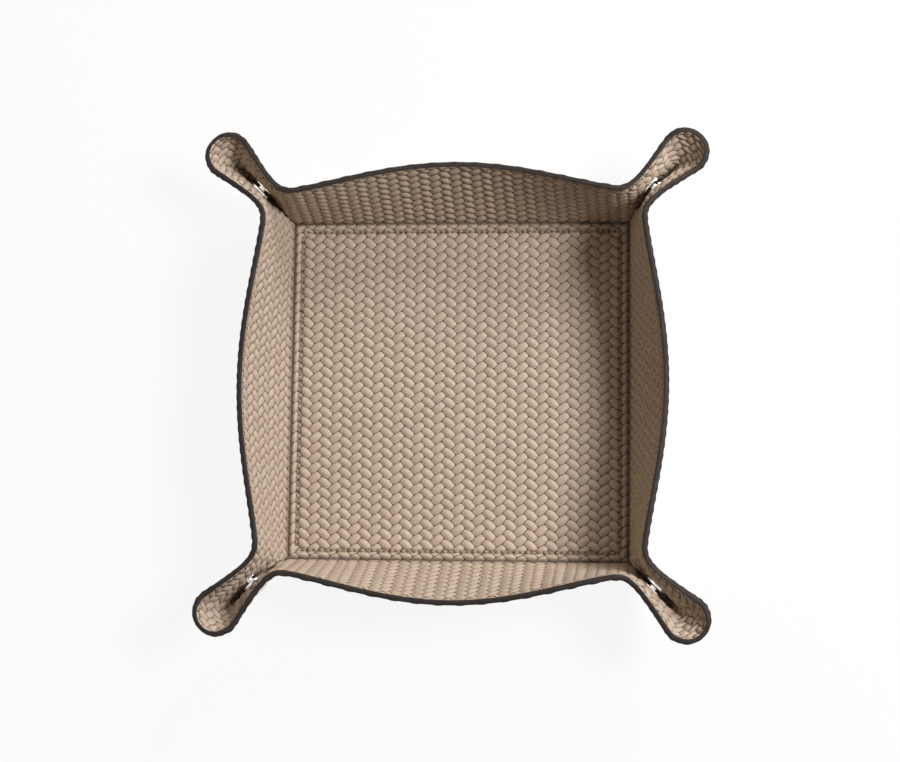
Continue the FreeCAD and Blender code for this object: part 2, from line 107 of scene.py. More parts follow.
# Rows over the cut edge: share of the thickness below the lining, and rise past the edge
RIM_PROFILE = [(0.92, 0.28), (0.68, 0.55), (0.35, 0.6), (0.12, 0.35), (0.0, 0.02)]

# The plait under a press stud: pressed flat from inside its cap's edge to past it
PRESS_INSIDE = 0.5
PRESS_OUTSIDE = 1.2
PRESS_SHARE = 0.7

# Softness of the leather's bends
CLOSE_FROM = 15.0
CLOSE_TO = 25.5
CLOSE_LEAST = 0.12
KEEL_CLOSE_FROM = -2.4
KEEL_CLOSE_TO = 8.0
KEEL_SAG = 2.4
FOLD_DEEP = 0.85
FOLD_HALF = 0.9
FOLD_TONGUE = 0.9
TONGUE_SLOPE = 0.6
FOLD_FADE = 1.2
# Painted shade in the fold at the base's edge and at the foot of each panel of lining
FOLD_SHADE = 0.3
FOOT_SHADE = 0.72
FOOT_CLIMB = 3.0
NECK_SOFT = 3.6
NECK_NEAR = 2.8
NECK_RANGE = 14.0
NECK_CLIMB_FROM = 0.5
NECK_CLIMB_TO = 34.0

# Where a skin passes from one body to the next
FOLD_BLEND = 5.0
FOLD_BLEND_OUT = 1.0
NECK_BLEND = 4.5
NECK_BLEND_BACK = 0.9
NECK_TURN = math.radians(22.5)
NECK_INSET = 1.0
NECK_OUTSET = 2.0
BEND_START = 0.6
BEND_BLEND = 3.2
KEEL_EDGE_FROM = 0.15
KEEL_EDGE_TO = 0.6

# The base's border: a groove at the stitches, a welt outside it, and the needle holes
GROOVE_DEEP = 0.55
GROOVE_HALF = 0.75
WELT_RISE = 0.75
WELT_HALF = 1.1
HOLE_ALONG = 0.45
HOLE_BESIDE = 0.55
HOLE_DEEP = 0.8
HOLE_SHADE = 0.95
BORDER_EASE = 2.4

# The base's outside turns up to the walls in a quarter round, at these shares of the thickness
TURN_UP = np.array([0.2, 0.4, 0.6, 0.75, 0.87, 0.95, 1.0])

# One stitch: rings along it, corners of a ring, and its arch above and under the base
STITCH_RINGS = 7
RING_CORNERS = 8
STITCH_SUNK = 0.35
STITCH_FLAT = 1.2
TOP_ARCH = 0.38
UNDER_ARCH = 0.2
TOP_SUNK = 0.05
SLANT_MOST = 0.07
SLANT_RATE = 5.1
SWELL_FROM = 0.12
SWELL_RUN = 0.76
SWELL_POWER = 0.6

# Least values that keep a division or a grid's first row in order
LEAST_LENGTH = 1e-9
LEAST_ALONG = 1e-6
LEAST_REACH = 0.01
LEAST_SPREAD_REACH = 0.5
LEAST_SHARE = 0.01

# The crease's table, tries to find the rim, and the flat widths that set an ear's grid
TABLE_REACH = 75.0
TABLE_COUNT = 400
RIM_TRIES = 20
FLANK_WIDTH = 26.0
KEEL_FLAT_WIDTH = 13.0

WALLS = ["back", "right", "front", "left"]
CORNERS = ["back_right", "front_right", "front_left", "back_left"]
ROOT_HALF = math.sqrt(0.5)
EIGHTH_TURN = math.radians(45)

CORNER_POINT = np.array([BASE_HALF, BASE_HALF, LINING_TOP])
OUTWARDS = np.array([ROOT_HALF, ROOT_HALF, 0.0])
SIDEWAYS = np.array([-ROOT_HALF, ROOT_HALF, 0.0])
UPWARDS = np.array([0.0, 0.0, 1.0])
WALL_INSIDE = np.array([0.0, -1.0, 0.3])
MIRROR = np.array([-1.0, 1.0, 1.0])
KEEL_SLOPE = math.radians(KEEL_ANGLE)
KEEL_WAY = OUTWARDS * math.cos(KEEL_SLOPE) + UPWARDS * math.sin(KEEL_SLOPE)
KEEL_OVER = UPWARDS * math.cos(KEEL_SLOPE) - OUTWARDS * math.sin(KEEL_SLOPE)


def smoothstep(value, low, high):
    """A smooth step from 0 at low to 1 at high."""
    share = np.clip((value - low) / (high - low), 0.0, 1.0)
    return share * share * (3 - 2 * share)


# The leather at one corner, in the same form as the model
def rim_reach(spread):
    """From the base's corner to the leather's edge, at an angle from the square's diagonal."""
    run = WALL_HEIGHT - CORNER_ROUND
    tangent = EIGHTH_TURN - math.atan2(run, WALL_HEIGHT)
    middle = run * math.sqrt(2)
    round_part = np.sqrt(np.maximum(0.0, CORNER_ROUND ** 2 - (middle * np.sin(spread)) ** 2))
    rounded = middle * np.cos(spread) + round_part
    straight = WALL_HEIGHT / np.cos(EIGHTH_TURN - spread)
    return np.where(spread < tangent, rounded, straight)


TIP_REACH = float(rim_reach(np.array(0.0)))


def closing(reach):
    """Share of the pinch that is left: the two sides of an ear close up towards the base's corner."""
    return CLOSE_LEAST + (1 - CLOSE_LEAST) * smoothstep(reach, CLOSE_FROM, CLOSE_TO)


def keel_sag(along):
    """How far the soft keel hangs below the straight line from the base's corner to the ear's tip."""
    share = np.clip(along / TIP_REACH, 0.0, 1.0)
    return 4 * KEEL_SAG * share * (1 - share)


def keel_rise(along):
    """Height of the keel's quarter round, at a distance along the keel."""
    root = PINCH_GAP / 2
    open_rise = root + (KEEL_WIDTH - root) * along / TIP_REACH
    return open_rise * smoothstep(along, KEEL_CLOSE_FROM, KEEL_CLOSE_TO)


SNAP_OVER = float(keel_rise(np.array(SNAP_ALONG))) + SNAP_MARGIN + CAP_RADIUS
SNAP_REACH = math.hypot(SNAP_ALONG, SNAP_OVER)
AROUND_CAP = CAP_RADIUS + FLARE_MARGIN
FLARE_START = SNAP_REACH + AROUND_CAP
SNAP_SLOPE = KEEL_SLOPE + math.atan2(SNAP_OVER, SNAP_ALONG)
NECK_SLOPE = SNAP_SLOPE + math.asin(AROUND_CAP / SNAP_REACH)


def half_gap(reach):
    """From the diagonal plane to the lining: pinched at the press stud, then widening in an S."""
    share = np.clip((reach - FLARE_START) / FLARE_LENGTH, 0.0, 1.0)
    return PINCH_GAP / 2 * closing(reach) + FLARE_WIDTH * np.sin(math.pi / 2 * share) ** 2


CREASE_GAP_TOP = float(half_gap(np.array(WALL_HEIGHT)))


def crease_gap(reach):
    """From the diagonal plane to the straight crease at the wall's end."""
    pinch = PINCH_GAP / 2
    return (pinch + (CREASE_GAP_TOP - pinch) * reach / WALL_HEIGHT) * closing(reach)


def keel_spread(reach):
    """Flat angle that the keel's quarter round takes up, at a distance from the corner."""
    quarter_round = math.pi / 4 * (keel_rise(reach) + half_gap(reach))
    return quarter_round / np.maximum(reach, LEAST_SPREAD_REACH)


def keel_edge(reach):
    """Slope and reach of the edge between keel and flank."""
    along = reach * np.cos(keel_spread(reach))
    rise = keel_rise(along)
    slope = KEEL_SLOPE + np.arctan2(rise, np.maximum(along, LEAST_ALONG))
    return slope, np.hypot(along, rise)


def crease(reach):
    """Slope and reach of the crease between flank and wall."""
    share = reach / WALL_HEIGHT
    rise = math.sqrt(WALL_HEIGHT ** 2 - END_LEAN ** 2) * share
    out = math.sqrt(2) * END_LEAN * share - crease_gap(reach)
    return np.arctan2(rise, out), np.hypot(out, rise)


def crease_spread(reach):
    """Flat angle of the crease from the square's diagonal."""
    return keel_spread(reach) + crease(reach)[0] - keel_edge(reach)[0]


REACH_TABLE = np.linspace(LEAST_REACH, TABLE_REACH, TABLE_COUNT)
CREASE_TURN = EIGHTH_TURN + crease_spread(REACH_TABLE)
CREASE_CLIMB = REACH_TABLE * np.sin(CREASE_TURN)
CREASE_ACROSS = BASE_HALF + REACH_TABLE * np.cos(CREASE_TURN)


def crease_across(climb):
    """Where the flat crease lies along the wall, at a climb above the fold."""
    return np.interp(climb, CREASE_CLIMB, CREASE_ACROSS)


def keel_point(reach, spread):
    """A place on the keel, from its flat polar place about the base's corner."""
    keel_share = np.clip(spread / keel_spread(reach), 0.0, 1.0)
    turn = math.pi / 2 * (1 - keel_share)
    along = reach * np.cos(np.minimum(spread, keel_spread(reach)))
    rise = keel_rise(along)
    gap = half_gap(np.hypot(along, rise)) * np.cos(turn)
    over = rise * (1 - np.sin(turn)) - keel_sag(along)
    return CORNER_POINT + along[:, None] * KEEL_WAY + over[:, None] * KEEL_OVER + gap[:, None] * SIDEWAYS


def flank_point(reach, spread):
    """A place on the flank between keel and crease, from its flat polar place."""
    edge_slope, edge_reach = keel_edge(reach)
    crease_slope, crease_reach = crease(reach)
    share = (spread - keel_spread(reach)) / (crease_spread(reach) - keel_spread(reach))
    slope = edge_slope + share * (crease_slope - edge_slope)
    far = edge_reach + share * (crease_reach - edge_reach)
    bend = np.clip((slope - NECK_SLOPE) / (crease_slope - NECK_SLOPE), 0.0, None)
    gap = half_gap(far)
    gap = gap + np.maximum(0.0, crease_gap(reach) - gap) * bend ** 2
    sag = keel_sag(edge_reach) * np.clip(1 - share, 0.0, 1.0) ** 2
    return (
        CORNER_POINT
        + (far * np.cos(slope))[:, None] * OUTWARDS
        + (far * np.sin(slope))[:, None] * UPWARDS
        + gap[:, None] * SIDEWAYS
        - sag[:, None] * KEEL_OVER
    )


def ear_point(reach, spread):
    """A place on an ear, from its flat polar place about the base's corner."""
    on_flank = (spread > keel_spread(reach))[:, None]
    return np.where(on_flank, flank_point(reach, spread), keel_point(reach, spread))


def wall_point(across, climb, lean):
    """A place on the back wall. Its top bows out most in the middle."""
    station = across / crease_across(climb)
    bow = (1 - station ** 2) * (1 - BOW_EASE * station ** 2)
    out = END_LEAN + (lean - END_LEAN) * bow
    slope = np.arccos(out / WALL_HEIGHT)
    end_slope, end_reach = crease(climb)
    end = CORNER_POINT + (end_reach * np.cos(end_slope))[:, None] * OUTWARDS
    end = end + crease_gap(climb)[:, None] * SIDEWAYS
    x = station * end[:, 0]
    return np.stack([x, BASE_HALF + climb * np.cos(slope), LINING_TOP + climb * np.sin(slope)], axis=1)


def sharp_point(across, climb, lean):
    """The back wall with its two ears, bent sharply at the creases, from a flat place on the square."""
    side = np.where(across < 0, -1.0, 1.0)
    right = np.abs(across)
    reach = np.hypot(right - BASE_HALF, climb)
    spread = np.arctan2(climb, right - BASE_HALF) - EIGHTH_TURN
    past_diagonal = spread < 0
    on_ear = ear_point(reach, np.abs(spread))
    on_ear = np.where(past_diagonal[:, None], on_ear[:, [1, 0, 2]], on_ear)
    on_wall = wall_point(np.minimum(right, crease_across(climb)), climb, lean)
    point = np.where((right > crease_across(climb))[:, None], on_ear, on_wall)
    point[:, 0] *= side
    return point


# Offsets across a crease, and the weight of each, that round it
KERNEL = [
    (-2.0, 0.05), (-1.33, 0.12), (-0.67, 0.21), (0.0, 0.24), (0.67, 0.21), (1.33, 0.12), (2.0, 0.05),
]


def soft_point(across, climb, lean):
    """The same, with the creases at the necks rounded as leather rounds them."""
    from_crease = np.abs(np.abs(across) - crease_across(climb))
    near = 1 - smoothstep(from_crease, NECK_NEAR, NECK_RANGE)
    width = NECK_SOFT * smoothstep(climb, NECK_CLIMB_FROM, NECK_CLIMB_TO) * near
    total = np.zeros((len(across), 3))
    for offset, weight in KERNEL:
        total += weight * sharp_point(across + offset * width, climb, lean)
    return total


# The plait's relief
def pillow(x, y, lean):
    """Height of one pillow about its middle, below 1 away from it."""
    along = x * math.cos(lean) + y * math.sin(lean)
    beside = y * math.cos(lean) - x * math.sin(lean)
    long_fall = (np.abs(along) / PILLOW_LONG) ** LONG_POWER
    short_fall = (np.abs(beside) / PILLOW_SHORT) ** SHORT_POWER
    return 1 - long_fall - short_fall


def plait_height(flat):
    """Height of the plait: 1 on the middle of a pillow, about 0.2 at its seams, below 0 in the pits."""
    flat_x = (flat[:, 0] - PILLOW_MIDDLE[0]) / COLUMN_PITCH
    flat_y = (flat[:, 1] - PILLOW_MIDDLE[1]) / ROW_PITCH
    column = np.floor(flat_x + 0.5)
    odd = np.mod(column, 2)
    x = (flat_x - column) * (1 - 2 * odd)
    y = np.mod(flat_y - 0.5 * odd + 0.5, 1) - 0.5
    next_x = x - np.where(x < 0, -1, 1)
    highest = np.maximum.reduce([
        pillow(x, y, -PILLOW_LEAN),
        pillow(x, y - np.where(y < 0, -1, 1), -PILLOW_LEAN),
        pillow(next_x, y - 0.5, PILLOW_LEAN),
        pillow(next_x, y + 0.5, PILLOW_LEAN),
    ])
    return 1 - np.clip(1 - highest, 0.0, PIT_DEPTH) ** DOME_POWER


def crowded(flat):
    """The plait's place for a place on the flat leather: it draws closer towards an ear's tip."""
    past = np.maximum(np.abs(flat) - BASE_HALF, 0.0)
    reach = np.maximum(np.hypot(past[..., 0], past[..., 1]), LEAST_LENGTH)
    on_diagonal = 2 * past[..., 0] * past[..., 1] / reach ** 2
    more = CROWD_MORE * on_diagonal * np.maximum(reach - CROWD_FROM, 0.0) / reach
    return flat + np.sign(flat) * past * more[..., None]


def fold_groove(from_fold):
    """How far the lining sinks in the fold between the base and a wall."""
    return FOLD_DEEP * np.exp(-((from_fold / FOLD_HALF) ** 2))


# Meshes from grids of points
def add_grid(name, points, flat, marks, material_rows, materials):
    """A mesh from a grid of points, with its flat places as a UV map and named values at each point."""
    rows, columns = points.shape[:2]
    index = np.arange(rows * columns).reshape(rows, columns)
    corners = [index[:-1, :-1], index[:-1, 1:], index[1:, 1:], index[1:, :-1]]
    faces = np.stack(corners, axis=-1).reshape(-1, 4)
    mesh = bpy.data.meshes.new(name)
    mesh.vertices.add(rows * columns)
    mesh.vertices.foreach_set("co", (points.reshape(-1, 3) * MM).ravel().astype(np.float32))
    mesh.loops.add(faces.size)
    mesh.loops.foreach_set("vertex_index", faces.ravel().astype(np.int32))
    mesh.polygons.add(len(faces))
    mesh.polygons.foreach_set("loop_start", np.arange(0, faces.size, 4, dtype=np.int32))
    for material in materials:
        mesh.materials.append(material)
    row_of_face = np.repeat(np.arange(rows - 1), columns - 1)
    mesh.polygons.foreach_set("material_index", (row_of_face >= material_rows).astype(np.int32))
    mesh.update()
    mesh.polygons.foreach_set("use_smooth", np.ones(len(faces), dtype=bool))
    uv = mesh.uv_layers.new(name="flat")
    uv.data.foreach_set("uv", flat.reshape(-1, 2)[faces.ravel()].ravel().astype(np.float32))
    for mark, values in marks.items():
        attribute = mesh.attributes.new(mark, "FLOAT", "POINT")
        attribute.data.foreach_set("value", values.ravel().astype(np.float32))
    mesh.validate()
    piece = bpy.data.objects.new(name, mesh)
    bpy.context.scene.collection.objects.link(piece)
    return piece


def grid_normals(points):
    """Unit normals of a grid of points."""
    down = np.gradient(points, axis=0)
    along = np.gradient(points, axis=1)
    normal = np.cross(along, down)
    length = np.linalg.norm(normal, axis=-1, keepdims=True)
    return normal / np.maximum(length, LEAST_LENGTH)


def flat_on_diagonal(normal):
    """Normals without their part across the diagonal plane, so that the two halves of an ear meet."""
    level = normal - (normal @ SIDEWAYS)[:, None] * SIDEWAYS
    return level / np.linalg.norm(level, axis=-1, keepdims=True)


def turned(points, index):
    """Points of the back wall's half, turned by quarter turns to another wall."""
    angle = math.radians(-90.0 * index)
    turn = np.array([[math.cos(angle), -math.sin(angle)], [math.sin(angle), math.cos(angle)]])
    result = points.copy()
    result[..., :2] = points[..., :2] @ turn.T
    return result


def steps_for(length, step):
    """How many points lie on a length, at most a step apart."""
    return max(3, int(math.ceil(length / step)) + 1)


# Flat places of each panel: across along the wall and climb above the fold
def wall_places(step):
    """Places of a wall, between its two creases."""
    rows = steps_for(WALL_HEIGHT, step)
    columns = steps_for(2 * BASE_HALF, step)
    climb = np.linspace(0.0, WALL_HEIGHT, rows)[:, None] * np.ones((1, columns))
    across = np.linspace(-1.0, 1.0, columns)[None, :] * crease_across(climb)
    return across, climb


def polar_places(start_spread, end_spread, step, width):
    """Places between two flat rays about the base's corner, from the corner out to the leather's edge."""
    rows = steps_for(TIP_REACH, step)
    columns = steps_for(width, step)
    share = np.linspace(0.0, 1.0, columns)
    edge = np.full(columns, TIP_REACH)
    for _ in range(RIM_TRIES):
        spread = start_spread(edge) + share * (end_spread(edge) - start_spread(edge))
        edge = rim_reach(spread)
    reach = np.linspace(LEAST_SHARE, 1.0, rows)[:, None] * edge[None, :]
    spread = start_spread(reach) + share[None, :] * (end_spread(reach) - start_spread(reach))
    angle = EIGHTH_TURN + spread
    return BASE_HALF + reach * np.cos(angle), reach * np.sin(angle)


def no_spread(reach):
    """The square's diagonal, as a flat angle from itself."""
    return np.zeros_like(reach)


def flank_places(step):
    """Places of a flank, from the crease to the keel."""
    return polar_places(crease_spread, keel_spread, step, FLANK_WIDTH)


def keel_places(step):
    """Places of half a keel, from its edge to the diagonal."""
    return polar_places(keel_spread, no_spread, step, KEEL_FLAT_WIDTH)


PLACES = {"wall": wall_places, "ear": flank_places, "keel": keel_places}


def panel_points(across, climb, lean):
    """The lining's surface at a grid of flat places."""
    shape = across.shape
    points = soft_point(across.ravel(), climb.ravel(), lean)
    return points.reshape(shape + (3,))


def press_mark(points):
    """How far the plait is pressed flat by the press stud, from 0 to 1."""
    offset = points - CORNER_POINT
    along = offset @ KEEL_WAY - SNAP_ALONG
    over = offset @ KEEL_OVER - SNAP_OVER
    from_middle = np.hypot(along, over)
    return 1 - smoothstep(from_middle, CAP_RADIUS - PRESS_INSIDE, CAP_RADIUS + PRESS_OUTSIDE)


def rim_marks(across, climb):
    """Distance of each place from the leather's edge, and how far along the edge it is."""
    from_rim = np.hypot(across - across[-1], climb - climb[-1])
    steps = np.hypot(np.diff(across[-1]), np.diff(climb[-1]))
    along_rim = np.concatenate([[0.0], np.cumsum(steps)])
    return from_rim, along_rim[None, :] * np.ones(across.shape)


def rim_rows(inner, normal, scallop):
    """Rows of points over the leather's cut edge, from its outside to its inside."""
    upward = inner[-1] - inner[-2]
    upward = upward / np.linalg.norm(upward, axis=-1, keepdims=True)
    rows = []
    for share, rise in RIM_PROFILE:
        depth = share * (LEATHER_THICK + scallop)
        rows.append(inner[-1] - normal[-1] * depth[:, None] + upward * rise)
    return np.stack(rows)


def facing_inside(normal, kind):
    """Normals turned to the tray's inside."""
    inside = WALL_INSIDE if kind == "wall" else -SIDEWAYS
    if np.sum(normal @ inside) < 0:
        normal = -normal
    if kind == "keel":
        normal[:, -1] = flat_on_diagonal(normal[:, -1])
    return normal


def lining_points(points, normal, climb, lift, kind):
    """The lining with its plait raised, and sunk in the fold at a wall's foot."""
    lift = lift * (PLAIT_RISE if kind == "wall" else EAR_RELIEF * PLAIT_RISE)
    if kind == "wall":
        lift = lift * smoothstep(climb, 0.0, FOLD_FADE)
        points = points - UPWARDS * fold_groove(climb)[..., None]
    return points + normal * lift[..., None]


def outer_points(points, normal, relief, pressed, raised):
    """The outside leather, followed by the rows over the cut edge."""
    scallop = RIM_SCALLOP * relief[-1]
    edge_rows = rim_rows(points, normal, scallop)
    depth = LEATHER_THICK + SHOW_THROUGH * PLAIT_RISE * relief * (1 - pressed)
    leather = points - normal * (depth + scallop * (1 - raised))[..., None]
    return np.concatenate([leather, edge_rows])


def with_last_row(values, count):
    """A grid of values with its last row repeated."""
    return np.concatenate([values, np.repeat(values[-1:], count, axis=0)])


def panel(name, kind, wall_index, mirrored, ply, materials):
    """One panel of lining or outside leather: a wall, a flank or a keel."""
    lean = FRONT_LEAN if WALLS[wall_index] in ("back", "front") else SIDE_LEAN
    across, climb = PLACES[kind](GRID_STEP if ply == "lining" else OUTER_STEP)
    points = panel_points(across, climb, lean)
    from_rim, along_rim = rim_marks(across, climb)
    normal = facing_inside(grid_normals(points), kind)
    pressed = press_mark(points)
    if mirrored:
        across = -across
        points = points * MIRROR
        normal = normal * MIRROR
    flat = turned(crowded(np.stack([across, BASE_HALF + climb], axis=-1)), wall_index)
    relief = plait_height(flat.reshape(-1, 2)).reshape(across.shape) - PLAIT_LEVEL
    raised = smoothstep(from_rim, 0.0, RIM_PRESSED)
    rows = points.shape[0]
    if ply == "lining":
        lift = relief * (1 - PRESS_SHARE * pressed) * (RIM_LEAST + (1 - RIM_LEAST) * raised)
        points = lining_points(points, normal, climb, lift, kind)
        # Painted shade, darker down towards the fold
        shade = FOOT_SHADE + (1 - FOOT_SHADE) * smoothstep(climb, 0.0, FOOT_CLIMB)
        material_rows = rows
    else:
        points = outer_points(points, normal, relief, pressed, raised)
        shade = np.ones(across.shape)
        material_rows = rows - 1
    points = turned(points, wall_index)
    marks = {"shade": shade, "from_rim": from_rim, "along_rim": along_rim}
    added = points.shape[0] - rows
    marks = {mark: with_last_row(values, added) for mark, values in marks.items()}
    flat = with_last_row(flat, added)
    if mirrored == (ply == "lining"):
        points = points[:, ::-1]
        flat = flat[:, ::-1]
        marks = {mark: values[:, ::-1] for mark, values in marks.items()}
    return add_grid(name, points, flat, marks, material_rows, materials)


def turned_place(point, wall_index, mirrored):
    """A place of the back right corner, moved to another wall's end, in metres."""
    place = np.array(point, dtype=float)
    if mirrored:
        place = place * MIRROR
    return tuple(turned(place, wall_index) * MM)


# Base lining: plait, line of holes for the thread, welt and fold
STITCH_HALF = BASE_HALF - STITCH_INSET
STITCH_STEPS = 2 * int((STITCH_HALF - STITCH_PITCH) / STITCH_PITCH)


def border_profile(depth):
    """Height of the base near its edge, from the distance inside the fold."""
    groove = GROOVE_DEEP * np.exp(-((depth - STITCH_INSET) / GROOVE_HALF) ** 2)
    welt = WELT_RISE * np.exp(-((depth - STITCH_INSET / 2) / WELT_HALF) ** 2)
    return welt - groove


def needle_holes(flat):
    """How deep in a needle hole each place is, from 0 to 1."""
    size = np.max(np.abs(flat), axis=-1)
    along = np.min(np.abs(flat), axis=-1)
    phase = np.mod(along / STITCH_PITCH + 0.5, 1.0)
    from_hole = np.minimum(phase, 1 - phase) * STITCH_PITCH
    off_line = size - STITCH_HALF
    return np.exp(-((from_hole / HOLE_ALONG) ** 2 + (off_line / HOLE_BESIDE) ** 2))


def base_lining(materials):
    """The plait inside the base, with a tongue that runs on past the fold."""
    half = BASE_HALF + FOLD_TONGUE
    count = steps_for(2 * half, BASE_STEP)
    line = np.linspace(-half, half, count)
    x, y = np.meshgrid(line, line)
    flat = np.stack([x, y], axis=-1)
    relief = plait_height(flat.reshape(-1, 2)).reshape(x.shape)
    depth = BASE_HALF - np.max(np.abs(flat), axis=-1)
    holes = needle_holes(flat)
    inside_fold = smoothstep(depth, 0.0, FOLD_FADE)
    plait = PLAIT_RISE * (relief - PLAIT_LEVEL) * inside_fold
    tongue = TONGUE_SLOPE * np.minimum(depth, 0.0)
    z = LINING_TOP + plait + border_profile(depth) + tongue
    z = z - fold_groove(np.maximum(depth, 0.0)) - HOLE_DEEP * holes
    points = np.stack([x, y, z], axis=-1)
    # Painted shade in the needle holes and in the fold
    shade = (1 - HOLE_SHADE * holes) * (FOLD_SHADE + (1 - FOLD_SHADE) * inside_fold)
    far = np.full(x.shape, BASE_HALF)
    marks = {"shade": shade, "from_rim": far, "along_rim": far}
    return add_grid("lining_base", points, flat, marks, count, materials)


def base_outer(materials):
    """The outside leather under the base, turned up all round to meet the walls."""
    inner = np.linspace(-BASE_HALF, BASE_HALF, steps_for(2 * BASE_HALF, BASE_OUTER_STEP))
    turn_up = BASE_HALF + LEATHER_THICK * TURN_UP
    line = np.concatenate([-turn_up[::-1], inner, turn_up])
    x, y = np.meshgrid(line, -line)
    square = np.stack([x, y], axis=-1)
    depth = BASE_HALF - np.max(np.abs(square), axis=-1)
    past = np.maximum(np.abs(square) - BASE_HALF, 0.0)
    past_length = np.maximum(np.hypot(past[..., 0], past[..., 1]), LEAST_LENGTH)
    past = past * (np.max(past, axis=-1) / past_length)[..., None]
    flat = np.sign(square) * (np.minimum(np.abs(square), BASE_HALF) + past)
    share = np.clip(np.hypot(past[..., 0], past[..., 1]) / LEATHER_THICK, 0.0, 1.0)
    z = BORDER_BOTTOM * (1 - smoothstep(depth, STITCH_INSET, STITCH_INSET + BORDER_EASE))
    z = z + LEATHER_THICK * (1 - np.sqrt(1 - share ** 2))
    points = np.concatenate([flat, z[..., None]], axis=-1)
    far = np.full(x.shape, BASE_HALF)
    marks = {"shade": np.ones(x.shape), "from_rim": far, "along_rim": far}
    return add_grid("outer_base", points, flat, marks, len(line), materials)


# Thread: one arched stitch after another, on both sides of the base
def stitch_rings(start, way, up, arch):
    """Rings of points round one arched stitch."""
    length = STITCH_PITCH - STITCH_GAP
    half = THREAD_THICK / 2
    beside = np.cross(up, way)
    rings = []
    for share in np.linspace(0.0, 1.0, STITCH_RINGS):
        swell = math.sin(math.pi * (SWELL_FROM + SWELL_RUN * share)) ** SWELL_POWER
        lift = arch * math.sin(math.pi * share) - STITCH_SUNK
        middle = start + way * (length * (share - 0.5)) + up * lift
        ring = []
        for corner in range(RING_CORNERS):
            angle = 2 * math.pi * corner / RING_CORNERS
            offset = beside * (math.cos(angle) * half) + up * (math.sin(angle) * half / STITCH_FLAT)
            ring.append(middle + offset * swell)
        rings.append(ring)
    return rings


def tube_faces(first, ring_count):
    """Faces between rings of points, the first point of which has a given number."""
    faces = []
    for row in range(ring_count - 1):
        for corner in range(RING_CORNERS):
            here = first + RING_CORNERS * row + corner
            beside = first + RING_CORNERS * row + (corner + 1) % RING_CORNERS
            faces.append((here, beside, beside + RING_CORNERS, here + RING_CORNERS))
    return faces


def stitch_row(side, top):
    """The rings of each stitch along one side of the base, above or under it."""
    up = UPWARDS if top else -UPWARDS
    level = LINING_TOP - TOP_SUNK if top else BORDER_BOTTOM
    arch = TOP_ARCH if top else UNDER_ARCH
    stitches = []
    for step in range(-STITCH_STEPS // 2, STITCH_STEPS // 2 + 1):
        slant = SLANT_MOST * math.sin(SLANT_RATE * step + side)
        way = np.array([math.cos(slant), math.sin(slant), 0.0])
        start = np.array([step * STITCH_PITCH, STITCH_HALF, level])
        stitches.append(stitch_rings(start, way, up, arch))
    return stitches


def add_stitching(material):
    """All the stitches round the base, as one mesh."""
    vertices = []
    faces = []
    for side in range(len(WALLS)):
        for top in (True, False):
            for rings in stitch_row(side, top):
                faces += tube_faces(len(vertices), len(rings))
                for ring in rings:
                    vertices += [tuple(turned(point, side) * MM) for point in ring]
    mesh = bpy.data.meshes.new("thread_base")
    mesh.from_pydata(vertices, [], faces)
    mesh.polygons.foreach_set("use_smooth", np.ones(len(mesh.polygons), dtype=bool))
    mesh.materials.append(material)
    piece = bpy.data.objects.new("thread_base", mesh)
    bpy.context.scene.collection.objects.link(piece)
    return piece


# Materials: colours from 0 to 255, and noise scales per metre
TILE_COLOURS = [(190, 173, 156), (188, 169, 153)]
WORN_COLOUR = (196, 179, 161)
# Painted shade in the seams between pillows, and in the pits where pillows meet
GAP_SHADE_COLOUR = (94, 72, 58)
PIT_SHADE_COLOUR = (44, 32, 24)
RIM_THREAD_COLOUR = (150, 128, 110)
# Painted shade in the rim's needle holes
RIM_HOLE_SHADE_COLOUR = (60, 46, 38)
# Painted shade in the folds, mixed in by the shade mark
FOLD_SHADE_COLOUR = (58, 46, 39)
OUTER_COLOURS = [(196, 178, 156), (182, 162, 140)]
EDGE_COLOURS = [(44, 39, 37), (54, 48, 46)]
THREAD_COLOURS = [(142, 120, 102), (176, 154, 134)]
NICKEL_COLOURS = [(214, 210, 202), (232, 229, 222)]
BOARD_COLOURS = [(120, 112, 100), (146, 137, 122)]
FLOOR_COLOUR = (244, 243, 241)
WHITE = (1.0, 1.0, 1.0, 1.0)

# Sockets of a colour mix node
MIX_SHARE = 0
MIX_FIRST = 6
MIX_SECOND = 7
MIX_RESULT = 2

# Pillows are numbered down their column, and from one column to the next by this step
COLUMN_NUMBERS = 57.0
LOWEST = -10.0


def srgb(colour):
    """A colour as the shader takes it, from its usual 0 to 255 values."""
    linear = []
    for value in colour:
        share = value / 255.0
        linear.append(share / 12.92 if share <= 0.04045 else ((share + 0.055) / 1.055) ** 2.4)
    return (linear[0], linear[1], linear[2], 1.0)


